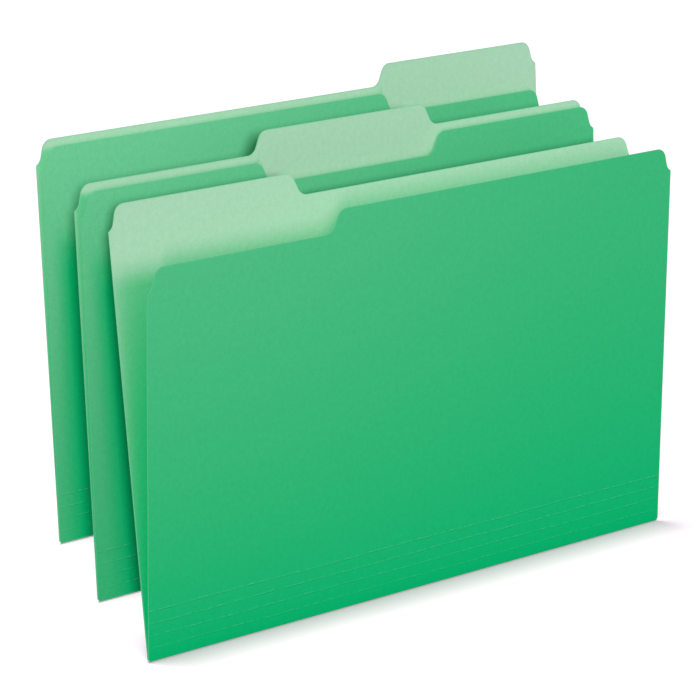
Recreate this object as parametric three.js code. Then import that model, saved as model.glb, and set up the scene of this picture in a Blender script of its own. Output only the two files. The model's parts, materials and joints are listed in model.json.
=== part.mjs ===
// Three one-third-cut interior file folders, standing on their folds one behind another.
// Each folder is one die-cut sheet of heavy paper: a back panel with a tab, a rounded fold,
// four narrow strips between the score lines, and a front panel cut low in front of the tab.
// Millimetres, +Z up, X along the folds, Y from the front folder to the rear one.
// The origin is the middle of the footprint, on the table.

import * as THREE from 'three';

// Sheet: legal size, in inches turned into millimetres.
const INCH = 25.4;
const WIDTH = 14.75 * INCH;
const BACK_HEIGHT = 9 * INCH;
const TAB_HEIGHT = 0.5 * INCH;
const FRONT_DROP = 3.6; // the front panel's top edge below the back panel's
const FRONT_HEIGHT = BACK_HEIGHT - FRONT_DROP;
const UNDERCUT = TAB_HEIGHT; // the front panel is cut down by this much in front of the tab
const PAPER = 0.28;

// Score lines, counted up from the fold.
const SCORE_COUNT = 4;
const SCORE_STEP = 7;
const CREASE_GAP = 0.3; // clear width of a score line between the pieces that it joins

// Fold: a half ring of paper that leaves a narrow space between the two panels.
const FOLD_SPACE = 0.3;
const FOLD_RADIUS = FOLD_SPACE / 2 + PAPER;
const FOLD_PIVOT = (FOLD_SPACE + PAPER) / 2; // from the fold's middle to the middle of each panel
const FOLD_GAP = 0.45; // clear height between a pivot and the panel above it
const FOLD_INSET = 0.8; // the fold ends this far inside the side edges
const FOLD_SEGMENTS = 12;

// Top corners: the side edge turns in at a shoulder, then up at a knee, then over to the top edge.
const SHOULDER_DROP = 13.7;
const SHOULDER_ROUND = 0.6;
const KNEE_INSET = 2.7;
const KNEE_DROP = 12.2;
const KNEE_ROUND = 6.2;
const CORNER_INSET = 5.9;
const CORNER_ROUND = 6.7;
const TOP_CORNER = [
  { inset: CORNER_INSET, drop: 0, round: CORNER_ROUND },
  { inset: KNEE_INSET, drop: KNEE_DROP, round: KNEE_ROUND },
  { inset: 0, drop: SHOULDER_DROP, round: SHOULDER_ROUND },
];
const BOTTOM_ROUND = 1;

// Steps at the ends of a tab or of an undercut.
const STEP_SLANT = 24; // degrees from upright
const STEP_ROUND = 6.5;
const ARC_SEGMENTS = 10;

// Each folder behind the front one stands this far back and to the right of it.
const MIDDLE_BACK = 74.5;
const MIDDLE_RIGHT = 21.8;
const REAR_BACK = 148.7;
const REAR_RIGHT = 49.3;

// Folders from front to rear: which third holds the tab, where the fold's left end stands,
// and how far each panel leans back from upright, in degrees.
const FOLDERS = [
  { name: 'front', tabThird: 0, right: 0, back: 0, backLean: 13.7, frontLean: 5.6 },
  {
    name: 'middle',
    tabThird: 1,
    right: MIDDLE_RIGHT,
    back: MIDDLE_BACK,
    backLean: 10.4,
    frontLean: 9,
  },
  {
    name: 'rear',
    tabThird: 2,
    right: REAR_RIGHT,
    back: REAR_BACK,
    backLean: 10.4,
    frontLean: 9,
  },
];

// The stock is coloured through, deeper outside than inside.
const OUTSIDE = 0x2ab478;
const INSIDE = 0xa0d6b2;

const radians = THREE.MathUtils.degToRad;

function paper(color) {
  return new THREE.MeshStandardMaterial({ color, roughness: 0.85, metalness: 0 });
}

/** Closed shape through points { u, v, round }, with each corner rounded to its radius. */
function roundedShape(points) {
  const shape = new THREE.Shape();
  points.forEach((point, i) => {
    const corner = new THREE.Vector2(point.u, point.v);
    const before = points[(i + points.length - 1) % points.length];
    const after = points[(i + 1) % points.length];
    if (!point.round) {
      if (i === 0) shape.moveTo(corner.x, corner.y);
      else shape.lineTo(corner.x, corner.y);
      return;
    }
    const back = new THREE.Vector2(before.u, before.v).sub(corner).normalize();
    const ahead = new THREE.Vector2(after.u, after.v).sub(corner).normalize();
    const half = back.angleTo(ahead) / 2;
    const reach = point.round / Math.tan(half);
    const centre = back.clone().add(ahead).normalize();
    centre.multiplyScalar(point.round / Math.sin(half)).add(corner);
    const from = back.clone().multiplyScalar(reach).add(corner).sub(centre);
    const to = ahead.clone().multiplyScalar(reach).add(corner).sub(centre);
    const clockwise = back.cross(ahead) > 0;
    shape.absarc(centre.x, centre.y, point.round, from.angle(), to.angle(), clockwise);
  });
  shape.closePath();
  return shape;
}

/** Points of one top corner, from the top edge down, measured in from the side edge. */
function topCorner(side, height) {
  return TOP_CORNER.map(({ inset, drop, round }) => ({
    u: side === 'left' ? inset : WIDTH - inset,
    v: height - drop,
    round,
  }));
}

/** The two points of the slanted step between neighbouring thirds, from right to left. */
function step(boundary, rightHeight, leftHeight) {
  const run = Math.abs(rightHeight - leftHeight) * Math.tan(radians(STEP_SLANT));
  return [
    { u: boundary + run / 2, v: rightHeight, round: STEP_ROUND },
    { u: boundary - run / 2, v: leftHeight, round: STEP_ROUND },
  ];
}

/** Outline of a panel from its bottom edge to its top edge, whose thirds have these heights. */
function panelShape(bottom, thirdHeights, bottomRound) {
  const points = [
    { u: 0, v: bottom, round: bottomRound },
    { u: WIDTH, v: bottom, round: bottomRound },
    ...topCorner('right', thirdHeights[2]).reverse(),
  ];
  for (const third of [2, 1]) {
    if (thirdHeights[third] !== thirdHeights[third - 1]) {
      points.push(...step((WIDTH * third) / 3, thirdHeights[third], thirdHeights[third - 1]));
    }
  }
  points.push(...topCorner('left', thirdHeights[0]));
  return roundedShape(points);
}

/** Flat sheet from a shape: shape x along the fold, shape y up the panel, facing the front. */
function sheet(name, shape, color) {
  const geometry = new THREE.ExtrudeGeometry(shape, {
    depth: PAPER,
    bevelEnabled: false,
    curveSegments: ARC_SEGMENTS,
  });
  geometry.translate(0, 0, -PAPER / 2);
  const mesh = new THREE.Mesh(geometry, paper(color));
  mesh.name = name;
  return mesh;
}

/** Heights of a top edge's thirds, with the tab's third raised or lowered. */
function thirdHeights(height, tabThird, change) {
  return [0, 1, 2].map((third) => (third === tabThird ? height + change : height));
}

function backPanel(folder) {
  const heights = thirdHeights(BACK_HEIGHT, folder.tabThird, TAB_HEIGHT);
  const shape = panelShape(FOLD_RADIUS + FOLD_GAP, heights, BOTTOM_ROUND);
  return sheet(`${folder.name}_back_panel`, shape, INSIDE);
}

function frontPanel(folder) {
  const heights = thirdHeights(FRONT_HEIGHT, folder.tabThird, -UNDERCUT);
  const shape = panelShape(SCORE_COUNT * SCORE_STEP + CREASE_GAP / 2, heights, 0);
  return sheet(`${folder.name}_front_panel`, shape, OUTSIDE);
}

/** Strip number k, between the score line below it and the one above it. */
function scoreStrip(folder, k) {
  const bottom = k === 1 ? FOLD_RADIUS + FOLD_GAP : (k - 1) * SCORE_STEP + CREASE_GAP / 2;
  const top = k * SCORE_STEP - CREASE_GAP / 2;
  const bottomRound = k === 1 ? BOTTOM_ROUND : 0;
  const shape = roundedShape([
    { u: 0, v: bottom, round: bottomRound },
    { u: WIDTH, v: bottom, round: bottomRound },
    { u: WIDTH, v: top, round: 0 },
    { u: 0, v: top, round: 0 },
  ]);
  return sheet(`${folder.name}_score_strip_${k}`, shape, OUTSIDE);
}

/** Half ring of paper along the bottom, open at the top between the two panels. */
function foldEdge(folder) {
  const shape = new THREE.Shape();
  shape.absarc(0, 0, FOLD_RADIUS, Math.PI, 2 * Math.PI, false);
  shape.absarc(0, 0, FOLD_SPACE / 2, 2 * Math.PI, Math.PI, true);
  shape.closePath();
  const geometry = new THREE.ExtrudeGeometry(shape, {
    depth: WIDTH - 2 * FOLD_INSET,
    bevelEnabled: false,
    curveSegments: FOLD_SEGMENTS,
  });
  geometry.rotateY(Math.PI / 2);
  geometry.rotateX(Math.PI / 2);
  geometry.translate(FOLD_INSET, 0, 0);
  const mesh = new THREE.Mesh(geometry, paper(OUTSIDE));
  mesh.name = `${folder.name}_fold_edge`;
  return mesh;
}

/** Plane of sheets through a pivot at one side of the fold, leaning back by some degrees. */
function leaningPlane(pivot, lean, meshes) {
  const plane = new THREE.Group();
  plane.position.set(0, pivot, 0);
  plane.rotation.x = Math.PI / 2 - radians(lean);
  const raised = new THREE.Group();
  raised.position.y = -FOLD_RADIUS;
  raised.add(...meshes);
  plane.add(raised);
  return plane;
}

function buildFolder(folder) {
  const meanLean = radians((folder.backLean + folder.frontLean) / 2);
  const strips = [];
  for (let k = 1; k <= SCORE_COUNT; k += 1) strips.push(scoreStrip(folder, k));

  // The fold's own frame leans back halfway between the panels, so each panel is turned
  // in it by what is left of its lean.
  const halfOpening = (folder.backLean - folder.frontLean) / 2;
  const fold = new THREE.Group();
  fold.rotation.x = -meanLean;
  fold.add(
    foldEdge(folder),
    leaningPlane(FOLD_PIVOT, halfOpening, [backPanel(folder)]),
    leaningPlane(-FOLD_PIVOT, -halfOpening, [...strips, frontPanel(folder)]),
  );

  const group = new THREE.Group();
  group.add(fold);
  group.position.set(folder.right, folder.back, FOLD_RADIUS);
  return group;
}

const folders = new THREE.Group();
folders.add(...FOLDERS.map(buildFolder));
folders.updateMatrixWorld(true);

const box = new THREE.Box3().setFromObject(folders, true);
const middle = box.getCenter(new THREE.Vector3());
folders.position.set(-middle.x, -middle.y, -box.min.z);

const set = new THREE.Group();
set.add(folders);

export default set;
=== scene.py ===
"""Three one-third-cut interior file folders in two-tone green stock, dressed for a studio picture.

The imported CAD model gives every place, lean and outline. Each folder is rebuilt here as thin
sheets of paper that meet edge to edge, so that it looks like the one folded sheet that it is and
still bends at its creases. Metres, +Z up, X along the folds, Y from the front folder to the rear
one.
"""

import json
import logging
import math
from bisect import bisect_left
from collections.abc import Callable, Sequence
from dataclasses import dataclass, field, replace
from enum import Enum
from functools import partial

import bmesh
import bpy
from mathutils import Matrix, Vector
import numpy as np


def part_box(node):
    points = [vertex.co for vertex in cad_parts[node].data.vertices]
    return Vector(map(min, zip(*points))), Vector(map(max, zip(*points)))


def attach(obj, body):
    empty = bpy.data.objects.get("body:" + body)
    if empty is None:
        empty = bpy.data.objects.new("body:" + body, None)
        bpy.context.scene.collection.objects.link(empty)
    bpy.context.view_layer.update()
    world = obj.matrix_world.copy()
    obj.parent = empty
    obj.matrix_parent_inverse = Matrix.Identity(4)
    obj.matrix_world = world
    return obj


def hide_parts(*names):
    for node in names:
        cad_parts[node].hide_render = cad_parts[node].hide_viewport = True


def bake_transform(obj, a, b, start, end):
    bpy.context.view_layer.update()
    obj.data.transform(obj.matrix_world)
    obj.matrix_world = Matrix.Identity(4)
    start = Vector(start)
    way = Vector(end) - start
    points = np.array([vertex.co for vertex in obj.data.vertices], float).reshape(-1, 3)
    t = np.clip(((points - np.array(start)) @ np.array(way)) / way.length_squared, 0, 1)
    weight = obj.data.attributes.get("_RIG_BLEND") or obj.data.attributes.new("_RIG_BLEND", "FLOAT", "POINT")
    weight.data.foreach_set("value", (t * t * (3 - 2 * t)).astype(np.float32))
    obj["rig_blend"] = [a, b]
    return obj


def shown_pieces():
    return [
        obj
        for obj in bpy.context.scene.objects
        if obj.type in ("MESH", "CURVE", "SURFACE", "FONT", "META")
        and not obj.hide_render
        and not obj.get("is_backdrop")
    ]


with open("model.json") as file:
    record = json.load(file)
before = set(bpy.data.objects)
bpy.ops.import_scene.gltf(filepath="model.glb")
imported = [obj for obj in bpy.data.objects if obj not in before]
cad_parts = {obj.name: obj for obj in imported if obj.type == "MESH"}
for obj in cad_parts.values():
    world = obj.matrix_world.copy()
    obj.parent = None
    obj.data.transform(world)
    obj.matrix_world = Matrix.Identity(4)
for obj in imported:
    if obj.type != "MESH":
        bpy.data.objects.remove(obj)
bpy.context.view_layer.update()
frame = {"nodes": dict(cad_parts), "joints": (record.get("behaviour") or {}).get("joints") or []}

logging.basicConfig(level=logging.INFO, format="%(message)s")
log = logging.getLogger("folders")

MM = 0.001

# Mesh of the paper.
CELL_WIDTH = 4 * MM
CELL_HEIGHT = 12 * MM
SCORE_CELL = 1.5 * MM  # the score lines waver, so their columns are close
CREASE_CELL = 2 * MM
LEAST_GAP = 0.01 * MM  # stops closer than this count as one
SLACK = 1e-6  # keeps a rounding error from adding a row
DECIMALS = 6  # of a place along the fold, in metres
TOP_REACH = 60 * MM  # the rows follow the shape of the top edge over this height
BOTTOM_REACH = 3 * MM  # and that of the bottom edge over this one
RIM_ROWS = (0.5 * MM, 1.2 * MM, 2.5 * MM, 5 * MM)  # rows at these distances from a cut top edge
BACK_ROWS = (0, 1 * MM, BOTTOM_REACH)  # lowest rows above the crease
STRIP_ROWS = (0, 0.5 * MM, 1 * MM, 2 * MM, BOTTOM_REACH)
BEAD_ROWS = 12
CREASE_ROWS = 6
TOP_FROM = 120 * MM  # packed points of a panel above this height belong to its top edge
TOP_SIGHT = 30 * MM  # a top edge further up doesn't matter to a point
EDGE_SIGHT = 8 * MM  # nor does one further along
CORNER_ROUND = 1 * MM
CORNER_STEPS = 5

# Score lines: ridges pressed from the inside by a scoring rule.
SCORE_COUNT = 4
SCORE_HALF_WIDTH = 0.55 * MM
SCORE_HEIGHT = 0.05 * MM
SCORE_WANDER = 0.25 * MM
SCORE_LIGHT = 0.3 * MM  # the painted highlight lies this far above the ridge's middle, the painted shade as far below it
SCORE_REACH = SCORE_HALF_WIDTH + SCORE_WANDER + SCORE_LIGHT
SCORE_ROWS = 4  # on each side of the crest
SCORE_PRESS = 0.6  # share of the full height that the lowest line has
SCORE_GAIN = 0.13  # each line above it is pressed this much deeper
PRESS_MEAN = 0.6  # the pressure of the rule varies about this share
STRIPS = [f"score_strip_{k}" for k in range(1, SCORE_COUNT + 1)]

# How far a free panel bows out of its plane, with a slight ripple.
BOW = 0.3 * MM
BOW_MEAN = 0.6  # share of it that the bow has without the ripple
RIPPLE = 0.25
RIPPLE_ACROSS = 2.3  # waves along the panel
RIPPLE_UP = 0.4  # waves up the panel

# Painted shade inside a folder, by how far daylight gets in.
POCKET_START = 0.2  # it starts to fail this many times the mouth's width above the front panel
POCKET_REACH = 0.68  # and is gone this many times that width further down
POCKET_GLOW = 0.6  # share of daylight left further down, for each radian of opening
POCKET_FALL = 90 * MM  # height over which that share is used up
POCKET_SLANT = 0.8  # it comes in from the left as well as from above
POCKET_BLUR = 0.16  # share of the gap over which a step in the top edge blurs
POCKET_CORNER = 8 * MM  # the front panel's plain top starts here
POCKET_DRIFT = 0.4  # daylight reaches this much further down at the right edge
POCKET_SIDE = 3.2  # share of daylight that comes in at the side, for each metre above its start
POCKET_SIDE_START = 25 * MM
POCKET_SIDE_REACH = 0.27  # it fades over this many times the gap between the panels
POCKET_HEIGHT = 36 * MM  # it ends within this height of the top edge, so the rows are close there
POCKET_CELL = 2 * MM

# Painted shadow: where a folder keeps daylight off the one behind, that one's front panel keeps the deeper
# green of shade, without the painted sheen.
DAYLIGHT_AZIMUTH = math.radians(32.2)  # from the front towards the left
DAYLIGHT_CLIMB = math.radians(19)
SHADOW_BLUR = 14 * MM  # the painted shadow fades out over this distance from the edge of the folder ahead
SHADOW_GROWTH = 0.03  # and over more of it further down
SHADOW_FALL = 24 * MM  # it is complete this far below the top edge of the folder ahead

WHITE = "#FFFFFF"
FLOOR = "#FFF1FA"  # a trace of red and blue makes up for the green that the folders throw on it
SENSOR_WIDTH = 36.0  # millimetres, as Blender counts it
CLIP_END = 20.0

Tree = bpy.types.NodeTree
Socket = bpy.types.NodeSocket
Object = bpy.types.Object
Collection = bpy.types.Collection
Vert = bmesh.types.BMVert
Surface = Callable[[float, float, float], Vector]
Mark = Callable[[float, float], float]
Range = tuple[float, float]
Edge = Sequence[Range]
Colour = tuple[float, float, float, float]
Value = float | Colour | Socket


class Face(Enum):
    """Faces of the stock, in the order of a sheet's material slots."""

    OUTSIDE = 0
    INSIDE = 1
    CUT_EDGE = 2


class Slot(Enum):
    """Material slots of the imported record."""

    GREEN_OUTSIDE = "green_outside"
    PALE_GREEN_INSIDE = "pale_green_inside"


def linear(code: str) -> Colour:
    """Turns an sRGB hex colour linear.

    Args:
        code: Six hex digits after a hash mark.

    Returns:
        Linear red, green and blue, with full alpha.
    """
    channels = (int(code[i : i + 2], 16) / 255 for i in (1, 3, 5))
    red, green, blue = (
        c / 12.92 if c <= 0.04045 else ((c + 0.055) / 1.055) ** 2.4 for c in channels
    )
    return red, green, blue, 1.0


def smooth(share: float) -> float:
    """Cuts a share to 0 to 1 and eases it at both ends."""
    share = min(max(share, 0.0), 1.0)
    return share * share * (3 - 2 * share)


def add_node(
    tree: Tree, kind: str, inputs: dict[str | int, Value] | None = None, **settings: object
) -> bpy.types.Node:
    """Adds a shader node.

    Args:
        tree: The tree that takes the node.
        kind: The node's type, after the word ShaderNode.
        inputs: Values, or outputs of other nodes to link, by input name or number.
        settings: The node's properties.

    Returns:
        The new node.
    """
    node = tree.nodes.new(f"ShaderNode{kind}")
    for name, setting in settings.items():
        setattr(node, name, setting)
    for key, value in (inputs or {}).items():
        if isinstance(value, Socket):
            tree.links.new(value, node.inputs[key])
        else:
            node.inputs[key].default_value = value
    return node


def new_tree(owner: bpy.types.Material | bpy.types.World) -> Tree:
    """Gives a material or world an empty node tree.

    Args:
        owner: The material or world.

    Returns:
        Its tree.
    """
    owner.use_nodes = True
    owner.node_tree.nodes.clear()
    return owner.node_tree


def attribute(tree: Tree, name: str) -> Socket:
    """Reads a vertex attribute, which is 0 on a mesh without it."""
    return add_node(tree, "Attribute", attribute_name=name).outputs["Fac"]


def calculated(tree: Tree, operation: str, first: Value, second: Value) -> Socket:
    """Calculates with two values.

    Args:
        tree: The tree.
        operation: What to do with them.
        first: A number or an output.
        second: A number or an output.

    Returns:
        The result.
    """
    return add_node(tree, "Math", {0: first, 1: second}, operation=operation).outputs["Value"]


def mapped(tree: Tree, value: Value, source: Range, target: Range, ease: str = "LINEAR") -> Socket:
    """Maps a value from one range to another, and holds it at the ends.

    Args:
        tree: The tree.
        value: The value.
        source: Start and end of its range.
        target: What the start and the end become.
        ease: Kind of interpolation.

    Returns:
        The mapped value.
    """
    ends = dict(zip(("From Min", "From Max", "To Min", "To Max"), (*source, *target)))
    node = add_node(tree, "MapRange", {"Value": value} | ends, interpolation_type=ease)
    return node.outputs["Result"]


def mixed(tree: Tree, share: Value, first: Value, second: Value, kind: str = "MIX") -> Socket:
    """Mixes two colours.

    Args:
        tree: The tree.
        share: Share of the second colour.
        first: The first colour.
        second: The second colour.
        kind: How they are mixed.

    Returns:
        The mixed colour.
    """
    inputs = {0: share, 6: first, 7: second}
    return add_node(tree, "Mix", inputs, data_type="RGBA", blend_type=kind).outputs[2]


def split_by_ray(tree: Tree, output: str, thrown: bpy.types.Node, seen: bpy.types.Node) -> None:
    """Ends a tree with a shader for the camera and one for the light on the folders.

    Args:
        tree: The tree.
        output: Type of its output node, after the word ShaderNode.
        thrown: Shader that lights the folders.
        seen: Shader that the camera sees.
    """
    rays = add_node(tree, "LightPath").outputs["Is Camera Ray"]
    ends = {0: rays, 1: thrown.outputs[0], 2: seen.outputs[0]}
    add_node(tree, output, {"Surface": add_node(tree, "MixShader", ends).outputs[0]})


def add_object(name: str, data: bpy.types.ID) -> Object:
    """Adds an object to the scene.

    Args:
        name: The object's name.
        data: Its mesh, light or camera.

    Returns:
        The new object.
    """
    made = bpy.data.objects.new(name, data)
    bpy.context.scene.collection.objects.link(made)
    return made


def towards(azimuth: float, elevation: float) -> Vector:
    """Finds a direction.

    Args:
        azimuth: Degrees from the front towards the left.
        elevation: Degrees above the table.

    Returns:
        The direction, one metre long.
    """
    turn, climb = math.radians(azimuth), math.radians(elevation)
    level = math.cos(climb)
    return Vector((-math.sin(turn) * level, -math.cos(turn) * level, math.sin(climb)))


def spread(stops: Sequence[float], step: float) -> list[float]:
    """Fills the space between stops evenly.

    Args:
        stops: Places that stay, in rising order.
        step: The longest gap.

    Returns:
        All places, in rising order.
    """
    kept = [stops[0]]
    kept += [stop for last, stop in zip(stops, stops[1:]) if stop - last > LEAST_GAP]
    places = [kept[0]]
    for start, end in zip(kept, kept[1:]):
        parts = max(1, math.ceil((end - start) / step - SLACK))
        places += [start + (end - start) * part / parts for part in range(1, parts + 1)]
    return places


@dataclass(frozen=True)
class Plane:
    """Middle plane of a panel, with the folder's outside on its positive side.

    Attributes:
        node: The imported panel.
        left: Row x of the folder's left edge.
        hinge: Where the plane meets the fold.
        lean: Angle back from upright.
        outward: 1 where the outside faces the front, -1 where it faces the rear.
    """

    node: str
    left: float
    hinge: Vector
    lean: float
    outward: int

    @property
    def up(self) -> Vector:
        """Direction up the panel."""
        return Vector((0, math.sin(self.lean), math.cos(self.lean)))

    @property
    def out(self) -> Vector:
        """Direction out of the folder."""
        return Vector((0, -math.cos(self.lean), math.sin(self.lean))) * self.outward

    def place(self, along: float, rise: float, out: float = 0.0) -> Vector:
        """Finds the point along, up and out of the folder from the panel's lower left corner."""
        start = Vector((self.left + along, self.hinge.y, self.hinge.z))
        return start + self.up * rise + self.out * out

    def flat(self, point: Vector) -> Range:
        """Finds how far along and up the plane a point of the row frame lies."""
        offset = point - Vector((self.left, self.hinge.y, self.hinge.z))
        return offset.x, offset.dot(self.up)

    def heights(self, node: str) -> list[float]:
        """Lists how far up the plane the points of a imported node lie."""
        return [self.flat(point)[1] for point in packed_points(node)]

    def outline(self) -> Edge:
        """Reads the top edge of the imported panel.

        Returns:
            Distance along and height of its points, from left to right.
        """
        tops: dict[float, float] = {}
        for point in packed_points(self.node):
            along, rise = self.flat(point)
            if rise > TOP_FROM:
                key = round(along, DECIMALS)
                tops[key] = max(tops.get(key, 0.0), rise)
        return sorted(tops.items())


def packed_points(node: str) -> list[Vector]:
    """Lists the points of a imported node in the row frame."""
    return [vertex.co.copy() for vertex in frame["nodes"][node].data.vertices]


def plane_of(node: str, hinge: Vector, outward: int) -> Plane:
    """Finds the middle plane of a packed panel.

    Args:
        node: The panel's node.
        hinge: Where the panel meets the fold.
        outward: 1 where the outside faces the front, -1 where it faces the rear.

    Returns:
        The plane through the hinge and the panel's middle.
    """
    points = packed_points(node)
    middle = sum(points, Vector()) / len(points)
    lean = math.atan2(middle.y - hinge.y, middle.z - hinge.z)
    return Plane(node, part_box(node)[0].x, hinge, lean, outward)


def height_at(outline: Edge, along: float) -> float:
    """Finds the height of a top edge.

    Args:
        outline: The edge.
        along: Distance from the left edge.

    Returns:
        The height there.
    """
    after = bisect_left(outline, (along, 0.0))
    if after == 0 or after == len(outline):
        return outline[min(after, len(outline) - 1)][1]
    (start, low), (end, high) = outline[after - 1 : after + 1]
    return low + (high - low) * (along - start) / (end - start)


@dataclass(frozen=True)
class Wave:
    """Unevenness along the score lines.

    Attributes:
        count: Waves across the folder.
        height: Height of a wave.
        phase: How far it shifts from line to line.
    """

    count: float
    height: float
    phase: float

    def at(self, turns: float, line: int) -> float:
        """Finds the wave's height on a score line."""
        return self.height * math.sin(self.count * turns + self.phase * line)


WANDER = (Wave(3, 0.625, 1.7), Wave(13, 0.375, 4.1))
PRESS_COARSE = (Wave(17, 0.25, 2.3), Wave(4.3, 1, 1))  # one beats against the other
PRESS_FINE = Wave(61, 0.15, 1.9)


@dataclass(frozen=True)
class Column:
    """Line of mesh points up a sheet.

    Attributes:
        along: Distance from the folder's left edge.
        bottom: Where the sheet starts there.
        top: Where the sheet ends there.
    """

    along: float
    bottom: float
    top: float


@dataclass(frozen=True)
class Paper:
    """Sheet of paper as a closed grid: two faces and the cut edge round them.

    Attributes:
        folder: The folder that it is part of, which gives its stock.
        word: The piece's name, without the folder's.
        columns: Lines of points from left to right.
        rows: Heights of the rows where the sheet is at its plain height.
        surface: Gives the place of a point from along, rise and out.
        cut_top: Whether the top is a cut edge and not the start of the next piece.
        marks: Gives more values of a point, by the name of their vertex attribute.
    """

    folder: "Folder"
    word: str
    columns: Sequence[Column]
    rows: Sequence[float]
    surface: Surface
    cut_top: bool = False
    marks: dict[str, Mark] = field(default_factory=dict)

    def rise(self, column: Column, row: float) -> float:
        """Finds the height of a grid point.

        Args:
            column: The point's column.
            row: The row's plain height.

        Returns:
            The height, led by the ends of the column near them.
        """
        near_bottom = smooth(1 - (row - self.rows[0]) / BOTTOM_REACH)
        near_top = smooth(1 - (self.rows[-1] - row) / TOP_REACH)
        lift = (column.bottom - self.rows[0]) * near_bottom
        return row + lift + (column.top - self.rows[-1]) * near_top

    def to_edge(self, along: float, rise: float, tops: Sequence[Column]) -> float:
        """Measures from a point to the nearest cut edge.

        Args:
            along: Distance from the folder's left edge.
            rise: Height on the sheet.
            tops: The columns near it, whose tops are a cut edge.

        Returns:
            The distance.
        """
        distance = min(along - self.columns[0].along, self.columns[-1].along - along)
        point = Vector((along, rise))
        for first, second in zip(tops, tops[1:]):
            start = Vector((first.along, first.top))
            edge = Vector((second.along, second.top)) - start
            share = (point - start).dot(edge) / edge.length_squared
            nearest = start + edge * min(max(share, 0.0), 1.0)
            distance = min(distance, (point - nearest).length)
        return distance

    def points(self, column: Column) -> list[tuple[float, dict[str, float]]]:
        """Works out what one column's points need.

        Args:
            column: The column.

        Returns:
            Height and vertex attributes for each row.
        """
        cut = self.columns if self.cut_top else ()
        near = [other for other in cut if abs(other.along - column.along) < EDGE_SIGHT]
        points = []
        for row in self.rows:
            rise = self.rise(column, row)
            tops = near if column.top - rise < TOP_SIGHT else []
            values = {name: mark(column.along, rise) for name, mark in self.marks.items()}
            values["to_edge"] = self.to_edge(column.along, rise, tops)
            points.append((rise, values))
        return points

    def build(self) -> Object:
        """Makes the piece.

        Returns:
            The new object, in place in the row frame.
        """
        grid = bmesh.new()
        pattern = grid.loops.layers.uv.new("stock")
        for name in ("to_edge", *self.marks):
            grid.verts.layers.float.new(name)
        layers = grid.verts.layers.float
        flat: dict[Vert, Range] = {}
        points = [self.points(column) for column in self.columns]
        half = self.folder.thickness / 2
        sides: list[list[list[Vert]]] = []
        for out in (half, -half):
            sides.append([])
            for column, line in zip(self.columns, points):
                sides[-1].append([])
                for rise, values in line:
                    vert = grid.verts.new(self.surface(column.along, rise, out))
                    for name, value in values.items():
                        vert[layers[name]] = value
                    flat[vert] = (column.along, rise)
                    sides[-1][-1].append(vert)
        last = len(self.rows) - 1
        patches = [
            ((a[j], b[j], b[j + 1], a[j + 1]), face)
            for lines, face in zip(sides, (Face.OUTSIDE, Face.INSIDE))
            for a, b in zip(lines, lines[1:])
            for j in range(last)
        ]
        pairs = list(zip(*sides))
        for j in (0, last):
            for (a, c), (b, d) in zip(pairs, pairs[1:]):
                patches.append(((a[j], b[j], d[j], c[j]), Face.CUT_EDGE))
        for a, c in (pairs[0], pairs[-1]):
            for j in range(last):
                patches.append(((a[j], a[j + 1], c[j + 1], c[j]), Face.CUT_EDGE))
        for corners, face in patches:
            made = grid.faces.new(corners)
            made.material_index = face.value
            made.smooth = face is not Face.CUT_EDGE
            for loop in made.loops:
                loop[pattern].uv = flat[loop.vert]
        bmesh.ops.recalc_face_normals(grid, faces=grid.faces)
        for edge in grid.edges:
            edge.smooth = len({made.material_index for made in edge.link_faces}) == 1
        name = f"{self.folder.name}_{self.word}"
        mesh = bpy.data.meshes.new(name)
        grid.to_mesh(mesh)
        grid.free()
        for face in Face:
            mesh.materials.append(self.folder.materials[face])
        log.info("%s: %d faces", name, len(mesh.polygons))
        return add_object(name, mesh)


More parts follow.
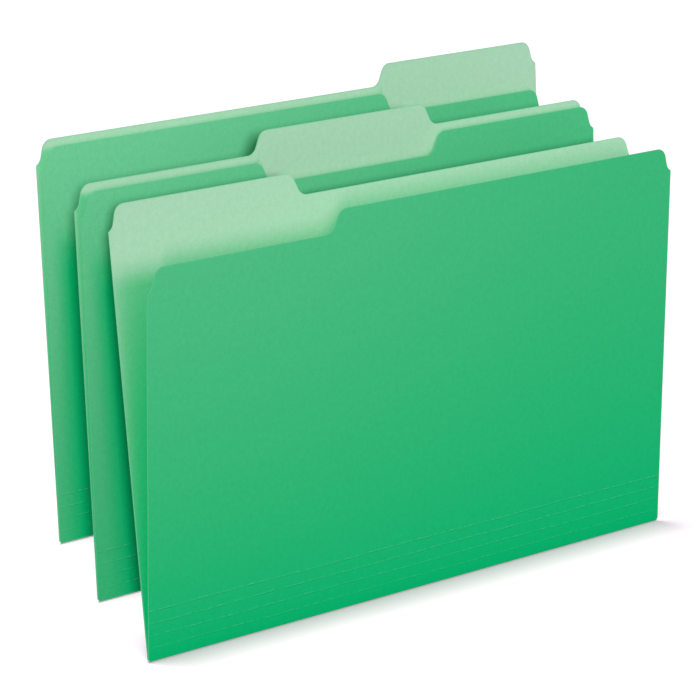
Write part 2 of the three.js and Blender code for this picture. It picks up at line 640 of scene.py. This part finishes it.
@dataclass(frozen=True)
class Stock:
    """Uncoated index paper of about 11 points, dyed in the pulp and printed deeper on the outside.

    Its surface is calendered but not coated, so the eye sees a matt colour with faint clouds of
    fibre, hardly any gloss and a paler line where the die has cut it.

    Attributes:
        folder: Name of the folder made from it.
        lowest: Share of painted sheen on its outside at the bottom, from 0 to 1.
        top_sheen: Share of painted sheen at the top.
        shift: Moves the clouds, so that no two folders are alike.
    """

    folder: str
    lowest: float
    top_sheen: float
    shift: float

    OUTSIDE = "#00B16E"
    # colour of the outside where the painted sheen is full
    OUTSIDE_SHEEN = "#78CA9A"
    SHEEN_HEIGHT = 0.225  # painted sheen, as light gets at the upper part; it is full up here
    SHEEN_DRIFT = 0.45  # share of the painted sheen that is missing at the right edge
    SHEEN_POWER = {Face.OUTSIDE: 1.0, Face.INSIDE: 2.0}  # above 1, the painted sheen keeps more to the top
    INSIDE = "#B2D4B8"
    CUT = "#7FCDA2"

    CLOUD = 3.5 * MM  # clouds of fibre, seen as mottling against the light
    FIBRE = 0.5 * MM  # single fibres are 0.03 mm wide, so they are drawn as bundles
    GRAIN_STRETCH = 2.5  # fibres lie along the fold, as the mill's grain does
    ROUGHNESS = 0.82
    ROUGHNESS_RANGE = 0.06
    IOR = 1.5
    SPECULAR = 0.07  # below a coated paper's, because loose fibres scatter the gloss
    RELIEF = 0.02 * MM
    RELIEF_STRENGTH = 0.5
    NOISE = {"Detail": 3.0, "Roughness": 0.6}
    NOISE_RANGE = (0.25, 0.75)
    CLOUD_SHADES = (0.96, 1.04)
    FIBRE_SHADES = (0.93, 1.07)
    RIM = (0.1 * MM, 0.7 * MM)  # the rim that handling scuffs on a cut edge is full here and gone there
    RIM_WEAR = {Face.OUTSIDE: 0.15, Face.INSIDE: 0.6}
    CREST_BREAK = (0.42, 0.58)  # below this noise a score line is left plain, above it its painted highlight and shade are full
    # strength of the painted highlight above a score line
    CREST_HIGHLIGHT = 0.4
    CREST_SHADE = 0.62  # painted shade on the lower side of a ridge, which turns away from the light

    def face(self, face: Face, width: float) -> bpy.types.Material:
        """Makes the material of one face.

        Args:
            face: The face.
            width: Width of the folder.

        Returns:
            The new material.
        """
        material = bpy.data.materials.new(f"{self.folder} folder stock, {face.name.lower()}")
        tree = new_tree(material)
        place = add_node(tree, "UVMap", uv_map="stock").outputs["UV"]
        clouds = self.noise(tree, place, self.CLOUD, 1.0)
        fibres = self.noise(tree, place, self.FIBRE, self.GRAIN_STRETCH)
        if face is Face.CUT_EDGE:
            colour = self.mottled(tree, clouds, fibres, linear(self.CUT))
        else:
            base = self.with_painted_sheen(tree, place, self.SHEEN_POWER[face], width)
            if face is Face.INSIDE:
                # Painted shade: as green as the outside deep in the folder, where daylight doesn't reach.
                base = mixed(tree, attribute(tree, "pocket_shade"), linear(self.INSIDE), base)
            colour = self.rim_wear_and_score_light(tree, self.mottled(tree, clouds, fibres, base), clouds, face)
        matt = (self.ROUGHNESS - self.ROUGHNESS_RANGE, self.ROUGHNESS + self.ROUGHNESS_RANGE)
        relief = {"Strength": self.RELIEF_STRENGTH, "Distance": self.RELIEF, "Height": fibres}
        finish = {
            "Base Color": colour,
            "IOR": self.IOR,
            "Specular IOR Level": self.SPECULAR,
            "Roughness": mapped(tree, fibres, (0.0, 1.0), matt),
            "Normal": add_node(tree, "Bump", relief).outputs["Normal"],
        }
        shader = add_node(tree, "BsdfPrincipled", finish)
        add_node(tree, "OutputMaterial", {"Surface": shader.outputs["BSDF"]})
        return material

    def noise(self, tree: Tree, place: Value, size: float, stretch: float) -> Socket:
        """Adds a noise of a real size.

        Args:
            tree: The material's tree.
            place: Coordinates in metres.
            size: Size of one blob, up the panel.
            stretch: How many times longer it is along the fold.

        Returns:
            The noise, from 0 to 1.
        """
        shift, scale = (self.shift, self.shift, 0.0), (1 / stretch, 1.0, 1.0)
        inputs = {"Vector": place, "Location": shift, "Scale": scale}
        moved = add_node(tree, "Mapping", inputs).outputs["Vector"]
        inputs = {"Vector": moved, "Scale": 1 / size} | self.NOISE
        return add_node(tree, "TexNoise", inputs).outputs["Fac"]

    def with_painted_sheen(self, tree: Tree, place: Value, exponent: float, width: float) -> Socket:
        """Paints a sheen of light on the outside, paler towards its top and its left, and leaves it out
        under the painted shadow of the folder ahead.

        Args:
            tree: The material's tree.
            place: Coordinates in metres.
            exponent: Power of the share of painted sheen.
            width: Width of the folder.

        Returns:
            The colour.
        """
        parts = add_node(tree, "SeparateXYZ", {"Vector": place}).outputs
        climb = mapped(tree, parts["Y"], (0, self.SHEEN_HEIGHT), (self.lowest, self.top_sheen))
        drift = (1.0, 1 - self.SHEEN_DRIFT)
        across = mapped(tree, parts["X"], (0, width), drift, "SMOOTHSTEP")
        # kept is the painted shadow of the folder ahead, where the painted sheen is left out
        bare = calculated(tree, "SUBTRACT", 1.0, attribute(tree, "kept"))
        share = calculated(tree, "MULTIPLY", calculated(tree, "MULTIPLY", climb, across), bare)
        raised = calculated(tree, "POWER", share, exponent)
        return mixed(tree, raised, linear(self.OUTSIDE), linear(self.OUTSIDE_SHEEN))

    def mottled(self, tree: Tree, clouds: Value, fibres: Value, colour: Value) -> Socket:
        """Lays the clouds and fibres of the pulp over a colour.

        Args:
            tree: The material's tree.
            clouds: Noise of the clouds.
            fibres: Noise of the fibres.
            colour: The colour.

        Returns:
            The varied colour.
        """
        for noise, shades in ((clouds, self.CLOUD_SHADES), (fibres, self.FIBRE_SHADES)):
            shade = mapped(tree, noise, self.NOISE_RANGE, shades)
            colour = mixed(tree, 1.0, colour, shade, "MULTIPLY")
        return colour

    def rim_wear_and_score_light(self, tree: Tree, colour: Value, clouds: Value, face: Face) -> Socket:
        """Shows the paler core where handling has scuffed cut edges, and paints highlight and shade on the
        score lines.

        Args:
            tree: The material's tree.
            colour: The face's colour.
            clouds: Noise of the clouds, which breaks the lines up.
            face: The outside or the inside.

        Returns:
            The colour with its scuffed cut edges and the painted highlight and shade of the score lines.
        """
        edge = mapped(tree, attribute(tree, "to_edge"), self.RIM, (self.RIM_WEAR[face], 0.0))
        broken = mapped(tree, clouds, self.CREST_BREAK, (0.0, 1.0))
        # crest carries the painted highlight (above 0) and painted shade (below 0) of the score lines
        line = calculated(tree, "MULTIPLY", attribute(tree, "crest"), broken)
        score_highlight = calculated(tree, "MULTIPLY", line, self.CREST_HIGHLIGHT)
        wear_and_highlight = mixed(tree, calculated(tree, "MAXIMUM", edge, score_highlight), colour, linear(self.CUT))
        flank_shade = mapped(tree, line, (0.0, -1.0), (1.0, self.CREST_SHADE))
        return mixed(tree, 1.0, wear_and_highlight, flank_shade, "MULTIPLY")


@dataclass(frozen=True)
class Folder:
    """One folder: a single sheet, folded once and scored four times.

    Attributes:
        name: The folder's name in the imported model.
        back: Plane of the back panel.
        front: Plane of the front panel and of the strips between the score lines.
        width: Width of the sheet.
        thickness: Thickness of the stock.
        scores: Heights of the score lines above the front hinge.
        materials: One material for each face.
        ahead: Plane of the back panel that stands in front of this folder, or None.
    """

    name: str
    back: Plane
    front: Plane
    width: float
    thickness: float
    scores: Sequence[float]
    materials: dict[Face, bpy.types.Material]
    ahead: Plane | None

    @classmethod
    def from_frame(cls, stock: Stock, ahead: Plane | None) -> "Folder":
        """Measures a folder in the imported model.

        Args:
            stock: The stock that it is made from.
            ahead: Plane of the back panel that stands in front of it, or None.

        Returns:
            The folder.
        """
        name = stock.folder
        hinges = {joint["name"]: joint["pos_m"] for joint in frame["joints"] if "pos_m" in joint}
        back = plane_of(f"{name}_back_panel", Vector(hinges[f"{name}_cover_fold"]), -1)
        front = plane_of(f"{name}_front_panel", Vector(hinges[f"{name}_gusset"]), 1)
        low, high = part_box(f"{name}_front_panel")
        width = high.x - low.x
        spans = [front.heights(f"{name}_{piece}") for piece in (*STRIPS, "front_panel")]
        scores = [(max(below) + min(above)) / 2 for below, above in zip(spans, spans[1:])]
        # The middle of the fold's paper runs through both hinges.
        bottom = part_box(f"{name}_fold_edge")[0].z
        ring = (back.hinge - front.hinge).length
        thickness = front.hinge.z + back.hinge.z - 2 * bottom - ring
        materials = {face: stock.face(face, width) for face in Face}
        return cls(name, back, front, width, thickness, scores, materials, ahead)

    @property
    def fold_lean(self) -> float:
        """Lean of the fold, halfway between the two panels."""
        return (self.back.lean + self.front.lean) / 2

    def build(self) -> None:
        """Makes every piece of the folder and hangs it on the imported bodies."""
        back_start = min(self.back.heights(self.back.node))
        front_start = min(self.front.heights(f"{self.name}_score_strip_1"))
        self.back_sheet(back_start)
        self.cover_sheet()
        self.score_strips(front_start)
        self.top_score()
        self.fold_bead()
        self.crease("back", self.back, back_start, "back_panel")
        self.crease("front", self.front, front_start, "gusset_strips")

    def corner_stops(self) -> list[float]:
        """Places columns round the two bottom corners.

        Returns:
            Their distances from the left edge.
        """
        turns = [math.radians(90 * i / CORNER_STEPS) for i in range(CORNER_STEPS + 1)]
        inset = [CORNER_ROUND * (1 - math.cos(turn)) for turn in turns]
        return inset + [self.width - distance for distance in inset]

    def corner_lift(self, along: float) -> float:
        """Finds how far a rounded bottom corner lifts the edge.

        Args:
            along: Distance from the left edge.

        Returns:
            The lift.
        """
        inset = max(min(along, self.width - along), 0.0)
        reach = max(CORNER_ROUND - inset, 0.0)
        return CORNER_ROUND - math.sqrt(CORNER_ROUND**2 - reach**2)

    def bowed(
        self, plane: Plane, start: float, height: float, along: float, rise: float, out: float
    ) -> Vector:
        """Finds a point of a free panel. Both panels bow to the rear, so a folder can close.

        Args:
            plane: The panel's plane.
            start: Height where the panel leaves its crease.
            height: Height of the panel.
            along: Distance from the left edge.
            rise: Height above the panel's hinge.
            out: Distance from the middle of the stock.

        Returns:
            The point. The edges of a panel don't bow, so that its outline stays.
        """
        share = min((rise - start) / (height - start), 1.0)
        waves = RIPPLE_ACROSS * along / self.width + RIPPLE_UP * share
        bow = BOW * (BOW_MEAN + RIPPLE * math.sin(2 * math.pi * waves))
        bow *= math.sin(math.pi * share) * math.sin(math.pi * along / self.width)
        return plane.place(along, rise, out - bow * plane.outward)

    def ridge(self, along: float, rise: float) -> float:
        """Finds how far up a pressed ridge a point is.

        Args:
            along: Distance from the left edge.
            rise: Height above the front hinge.

        Returns:
            1 on the crest of a fully pressed score line and 0 between the lines.
        """
        share = 0.0
        turns = along / self.width * 2 * math.pi
        for k, score in enumerate(self.scores):
            wander = SCORE_WANDER * sum(wave.at(turns, k) for wave in WANDER)
            off = abs(rise - score - wander) / SCORE_HALF_WIDTH
            if off < 1:
                coarse = math.prod(wave.at(turns, k) for wave in PRESS_COARSE)
                pressed = PRESS_MEAN + coarse + PRESS_FINE.at(turns, k)
                height = SCORE_PRESS + SCORE_GAIN * k
                share += pressed * height * math.cos(math.pi / 2 * off) ** 2
        return share

    def crest(self, along: float, rise: float) -> float:
        """Gives the painted highlight above a ridge's middle, up to 1, and the painted shade below it, down
        to -1.
        """
        return self.ridge(along, rise - SCORE_LIGHT) - self.ridge(along, rise + SCORE_LIGHT)

    def pocket_shade(self, cover: Edge, along: float, rise: float) -> float:
        """Finds how much painted shade a point of the back panel's inside gets, by how deep in the folder it
        lies.

        Args:
            cover: Top edge of the front panel.
            along: Distance from the left edge.
            rise: Height above the back hinge.

        Returns:
            0 where daylight reaches it and 1 where only light through the sheets does.
        """
        opening = math.sin(self.back.lean - self.front.lean)
        gap = rise * opening
        ahead = max(along - POCKET_SLANT * gap, POCKET_CORNER)
        tops = [height_at(cover, ahead + i * POCKET_BLUR * gap) for i in (-1, 0, 1)]
        cover_top = sum(tops) / len(tops)
        mouth = cover_top * opening
        below = cover_top + POCKET_START * mouth - rise
        reach = POCKET_REACH * mouth * (1 + POCKET_DRIFT * along / self.width)
        above = smooth(1 - below / reach)
        glow = POCKET_GLOW * smooth(1 + (rise - cover_top) / POCKET_FALL) * opening
        inset = min(along, self.width - along)
        side = POCKET_SIDE * max(rise - POCKET_SIDE_START, 0.0)
        side *= math.exp(-inset / (POCKET_SIDE_REACH * gap + LEAST_GAP))
        return (1 - above) * (1 - side) * (1 - glow)

    def kept(self, tops: Edge, along: float, rise: float) -> float:
        """Finds how much painted shadow from the folder ahead falls on a point of the front panel.

        Args:
            tops: Top edge of the back panel that stands in front of it.
            along: Distance from the left edge.
            rise: Height above the front hinge.

        Returns:
            1 where that panel has kept daylight off the point, or less down to 0.
        """
        other = self.ahead
        point = self.front.place(along, rise)
        height = point.z - other.hinge.z
        gap = point.y - other.hinge.y - height * math.tan(other.lean)
        inset = point.x - other.left - gap * math.tan(DAYLIGHT_AZIMUTH)
        passing = height + gap / math.cos(DAYLIGHT_AZIMUTH) * math.tan(DAYLIGHT_CLIMB)
        top = height_at(tops, max(inset, 0.0)) * math.cos(other.lean)
        drop = max(top - passing, 0.0)
        blur = SHADOW_BLUR + SHADOW_GROWTH * drop
        return smooth(1 + inset / blur) * smooth(drop / SHADOW_FALL)

    def painted_shadow_mark(self) -> dict[str, Mark]:
        """Gives the mark of the painted shadow from the folder ahead, or none for the front folder."""
        return {"kept": partial(self.kept, self.ahead.outline())} if self.ahead else {}

    def score_rows(self, score: float) -> list[float]:
        """Places rows across the score line at a height."""
        steps = range(-SCORE_ROWS, SCORE_ROWS + 1)
        return [score + SCORE_REACH * step / SCORE_ROWS for step in steps]

    def finish(self, sheet: Paper, *nodes: str, slot: Slot = Slot.GREEN_OUTSIDE) -> Object:
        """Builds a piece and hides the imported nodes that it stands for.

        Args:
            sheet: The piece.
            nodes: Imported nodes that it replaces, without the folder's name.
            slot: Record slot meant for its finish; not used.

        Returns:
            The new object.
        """
        piece = sheet.build()
        if nodes:
            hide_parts(*(f"{self.name}_{node}" for node in nodes))
        return piece

    def panel(
        self,
        word: str,
        plane: Plane,
        first: Sequence[float],
        rounded: bool,
        marks: dict[str, Mark],
    ) -> Paper:
        """Lays out a free panel.

        Args:
            word: The piece's name, without the folder's.
            plane: The panel's plane.
            first: Heights of its lowest rows.
            rounded: Whether its bottom corners are rounded.
            marks: Gives more values of its points.

        Returns:
            The piece.
        """
        outline = plane.outline()
        stops = {along for along, _ in outline}
        if rounded:
            stops |= set(self.corner_stops())
        columns = []
        for along in spread(sorted(stops), CELL_WIDTH):
            lift = self.corner_lift(along) if rounded else 0.0
            columns.append(Column(along, first[0] + lift, height_at(outline, along)))
        # The height that the panel has over most of its width.
        plain = sorted(column.top for column in columns)[len(columns) // 2]
        rim = [plain - distance for distance in reversed(RIM_ROWS)]
        upper = spread([plain - POCKET_HEIGHT, *rim, plain], POCKET_CELL)
        rows = spread([*first, upper[0]], CELL_HEIGHT) + upper[1:]
        surface = partial(self.bowed, plane, first[0], plain)
        return Paper(self, word, columns, rows, surface, True, marks)

    def back_sheet(self, start: float) -> None:
        """Makes the back panel with its tab.

        Args:
            start: Height where it leaves the back crease.
        """
        # painted shade on the inside, where daylight doesn't reach into the folder
        marks = {"pocket_shade": partial(self.pocket_shade, self.front.outline())}
        first = [start + row for row in BACK_ROWS]
        sheet = self.panel("back_sheet", self.back, first, True, marks)
        piece = self.finish(sheet, "back_panel", slot=Slot.PALE_GREEN_INSIDE)
        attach(piece, f"{self.name}_back_panel")

    def cover_sheet(self) -> None:
        """Makes the front panel above the top score line."""
        start = self.scores[-1] + SCORE_REACH
        sheet = self.panel("cover_sheet", self.front, [start], False, self.painted_shadow_mark())
        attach(self.finish(sheet, "front_panel"), f"{self.name}_front_panel")

    def score_strips(self, start: float) -> None:
        """Makes the strips between the score lines, up to the top line.

        Args:
            start: Height where they leave the front crease.
        """
        end = self.scores[-1] - SCORE_REACH
        rows = [start + row for row in STRIP_ROWS]
        for score in self.scores[:-1]:
            rows += self.score_rows(score)
        places = spread(sorted(set(self.corner_stops())), SCORE_CELL)
        columns = [Column(along, start + self.corner_lift(along), end) for along in places]
        marks = {"crest": self.crest} | self.painted_shadow_mark()
        surface = self.scored_surface
        sheet = Paper(self, "score_strips", columns, [*rows, end], surface, marks=marks)
        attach(self.finish(sheet, *STRIPS), f"{self.name}_gusset_strips")

    def scored_surface(self, along: float, rise: float, out: float) -> Vector:
        """Finds a point of the scored stretch of the front panel."""
        return self.front.place(along, rise, out + SCORE_HEIGHT * self.ridge(along, rise))

    def top_score(self) -> None:
        """Makes the top score line, which bends when the bottom spreads."""
        rows = self.score_rows(self.scores[-1])
        places = spread([0.0, self.width], SCORE_CELL)
        columns = [Column(along, rows[0], rows[-1]) for along in places]
        marks = {"crest": self.crest} | self.painted_shadow_mark()
        piece = self.finish(
            Paper(self, "top_score", columns, rows, self.scored_surface, marks=marks)
        )
        start, end = (self.front.place(0.0, row) for row in (rows[0], rows[-1]))
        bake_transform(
            piece, f"{self.name}_gusset_strips", f"{self.name}_front_panel", start=start, end=end
        )

    def fold_piece(self, word: str, length: float, count: int, surface: Surface) -> Paper:
        """Lays out a piece of the fold, which ends inside the side edges.

        Args:
            word: The piece's name, without the folder's.
            length: Its size across the fold.
            count: Number of its cells across the fold.
            surface: Gives the place of a point.

        Returns:
            The piece.
        """
        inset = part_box(f"{self.name}_fold_edge")[0].x - self.front.left
        places = spread([inset, self.width - inset], CREASE_CELL)
        columns = [Column(along, 0.0, length) for along in places]
        rows = [length * row / count for row in range(count + 1)]
        return Paper(self, word, columns, rows, surface)

    def fold_bead(self) -> None:
        """Makes the rounded fold that the folder stands on."""
        length = math.pi * (self.back.hinge - self.front.hinge).length / 2
        sheet = self.fold_piece("fold_bead", length, BEAD_ROWS, self.round_fold)
        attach(self.finish(sheet, "fold_edge"), f"{self.name}_fold_edge")

    def round_fold(self, along: float, run: float, out: float) -> Vector:
        """Finds a point of the rounded fold.

        Args:
            along: Distance from the left edge.
            run: Distance round the fold from the back hinge.
            out: Distance from the middle of the stock.

        Returns:
            The point.
        """
        middle = (self.back.hinge + self.front.hinge) / 2
        across = self.back.hinge - self.front.hinge
        down = Vector((0, -math.sin(self.fold_lean), -math.cos(self.fold_lean)))
        radius = across.length / 2
        turn = run / radius
        ray = across.normalized() * math.cos(turn) + down * math.sin(turn)
        start = Vector((self.front.left + along, middle.y, middle.z))
        return start + ray * (radius + out)

    def crease(self, side: str, panel: Plane, height: float, body: str) -> None:
        """Makes the narrow crease between the fold and one panel.

        Args:
            side: Word for the side, in the piece's name.
            panel: Plane of the panel.
            height: Where the panel starts.
            body: The panel's body, without the folder's name.
        """
        surface = partial(self.turned, panel, height)
        piece = self.finish(self.fold_piece(f"{side}_crease", height, CREASE_ROWS, surface))
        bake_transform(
            piece,
            f"{self.name}_fold_edge",
            f"{self.name}_{body}",
            start=panel.place(0.0, 0.0),
            end=panel.place(0.0, height),
        )

    def turned(
        self, panel: Plane, height: float, along: float, rise: float, out: float
    ) -> Vector:
        """Finds a point of a crease, which turns from the fold's lean to the panel's.

        Args:
            panel: Plane of the panel.
            height: Where the panel starts.
            along: Distance from the left edge.
            rise: Height above the hinge.
            out: Distance from the middle of the stock.

        Returns:
            The point.
        """
        root = replace(panel, lean=self.fold_lean)
        share = smooth(rise / height)
        return root.place(along, rise, out).lerp(panel.place(along, rise, out), share)


@dataclass(frozen=True)
class Sun:
    """Distant soft light.

    Attributes:
        name: The light's name.
        azimuth: Degrees from the front towards the left, where the light comes from.
        elevation: Degrees above the table.
        strength: Light on a surface that faces it, so that a white one shows as strength / pi.
        spread: Degrees across the light as seen from the object.
        colour: Its colour, as an sRGB hex code.
    """

    name: str
    azimuth: float
    elevation: float
    strength: float
    spread: float
    colour: str = WHITE

    def build(self, lit: Collection, shading: Collection | None = None) -> None:
        """Makes the light.

        Args:
            lit: What it lights.
            shading: What casts shadows in it, or None for everything.
        """
        lamp = bpy.data.lights.new(self.name, "SUN")
        lamp.energy = self.strength
        lamp.color = linear(self.colour)[:3]
        lamp.angle = math.radians(self.spread)
        light = add_object(self.name, lamp)
        source = towards(self.azimuth, self.elevation)
        light.rotation_euler = source.to_track_quat("Z", "Y").to_euler()
        light.light_linking.receiver_collection = lit
        light.light_linking.blocker_collection = shading
        log.info("%s: %.2f", self.name, self.strength)


@dataclass(frozen=True)
class Camera:
    """The photograph's viewpoint.

    Attributes:
        place: Where the lens is.
        azimuth: Degrees from the front towards the left.
        elevation: Degrees above the table.
        roll: Degrees that the camera is turned about its view.
        focal: Focal length in millimetres on a 36 mm sensor.
    """

    place: Vector
    azimuth: float
    elevation: float
    roll: float
    focal: float

    def build(self) -> None:
        """Makes the camera and gives it to the scene."""
        tilt = math.radians(self.roll)
        ahead = -towards(self.azimuth, self.elevation)
        level = ahead.cross(Vector((0, 0, 1))).normalized()
        above = level.cross(ahead)
        right = level * math.cos(tilt) + above * math.sin(tilt)
        up = above * math.cos(tilt) - level * math.sin(tilt)
        lens = bpy.data.cameras.new("camera")
        lens.lens = self.focal
        lens.sensor_width = SENSOR_WIDTH
        lens.clip_end = CLIP_END
        camera = add_object("camera", lens)
        turned = Matrix((right, up, -ahead)).transposed().to_4x4()
        camera.matrix_world = Matrix.Translation(self.place) @ turned
        bpy.context.scene.camera = camera


@dataclass(frozen=True)
class Studio:
    """White sweep, soft light and camera.

    Attributes:
        key: Light on the folders, from beside the camera.
        fills: Soft lights on the folders.
        top: Light on the floor, from above and behind, which gives the short shadow.
        ambient: Brightness of the white room round the folders.
        floor_bounce: Share of light that the floor throws back on the folders.
        floor_glow: Light that the floor gives by itself where the camera sees it.
        floor_size: Width of the floor.
        floor_drop: How far the floor lies below the folds, so that a front panel laid out flat,
            whose first strips come lower than the fold, stays above it.
        camera: The camera.
    """

    key: Sun
    fills: Sequence[Sun]
    top: Sun
    ambient: float
    floor_bounce: float
    floor_glow: float
    floor_size: float
    floor_drop: float
    camera: Camera

    def build(self) -> None:
        """Makes the studio."""
        floor = self.floor()
        ground = bpy.data.collections.new("floor")
        ground.objects.link(floor)
        pieces = bpy.data.collections.new("folders")
        backs = bpy.data.collections.new("back panels, which shade the folder behind")
        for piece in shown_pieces():
            pieces.objects.link(piece)
            if piece.name.endswith("_back_sheet"):
                backs.objects.link(piece)
        self.key.build(pieces, backs)
        for fill in self.fills:
            fill.build(pieces)
        self.top.build(ground)
        self.room()
        self.camera.build()

    def floor(self) -> Object:
        """Makes the floor.

        Returns:
            The floor, marked as stage.
        """
        half = self.floor_size / 2
        sides = [(-half, -half), (half, -half), (half, half), (-half, half)]
        mesh = bpy.data.meshes.new("floor")
        mesh.from_pydata([(x, y, -self.floor_drop) for x, y in sides], [], [(0, 1, 2, 3)])
        floor = add_object("floor", mesh)
        floor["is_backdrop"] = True
        material = bpy.data.materials.new("white paper sweep")
        mesh.materials.append(material)
        tree = new_tree(material)
        white, grey = linear(FLOOR), (self.floor_bounce,) * 3 + (1.0,)
        light = {"Color": white, "Strength": self.floor_glow}
        glow = add_node(tree, "Emission", light).outputs[0]
        lit = add_node(tree, "BsdfDiffuse", {"Color": white}).outputs[0]
        seen = add_node(tree, "AddShader", {0: lit, 1: glow})
        thrown = add_node(tree, "BsdfDiffuse", {"Color": grey})
        split_by_ray(tree, "OutputMaterial", thrown, seen)
        return floor

    def room(self) -> None:
        """Makes the white room, plain white where the camera sees it."""
        world = bpy.data.worlds.new("white room")
        bpy.context.scene.world = world
        tree = new_tree(world)
        thrown, seen = (
            add_node(tree, "Background", {"Color": linear(WHITE), "Strength": strength})
            for strength in (self.ambient, 1.0)
        )
        split_by_ray(tree, "OutputWorld", thrown, seen)


# each folder's painted sheen, stronger on the folders further back
FOLDERS = (
    Stock("front", lowest=0.0, top_sheen=0.5, shift=0.0),
    Stock("middle", lowest=0.2, top_sheen=0.82, shift=0.13),
    Stock("rear", lowest=0.28, top_sheen=0.98, shift=0.29),
)

STUDIO = Studio(
    key=Sun("key light", azimuth=35.6, elevation=19.0, strength=2.48, spread=7),
    fills=(
        Sun("light thrown between the sheets", 38, 24, strength=1.1, spread=120, colour="#B3FFEE"),
        Sun("rear fill", azimuth=200, elevation=30, strength=1.8, spread=60),
    ),
    top=Sun("top light", azimuth=152, elevation=80.6, strength=2.15, spread=8),
    ambient=0.1,
    floor_bounce=0.3,
    floor_glow=0.4,
    floor_size=8.0,
    floor_drop=0.4 * MM,
    camera=Camera(
        place=Vector((-1.23508, -1.39272, 0.79058)),
        azimuth=41.48,
        elevation=20.24,
        roll=4.55,
        focal=179.1,
    ),
)


def main() -> None:
    """Makes the folders and the studio."""
    ahead = None
    for stock in FOLDERS:
        folder = Folder.from_frame(stock, ahead)
        folder.build()
        ahead = folder.back
    STUDIO.build()
    bpy.context.scene.view_settings.view_transform = "Standard"


if __name__ == "__main__":
    main()
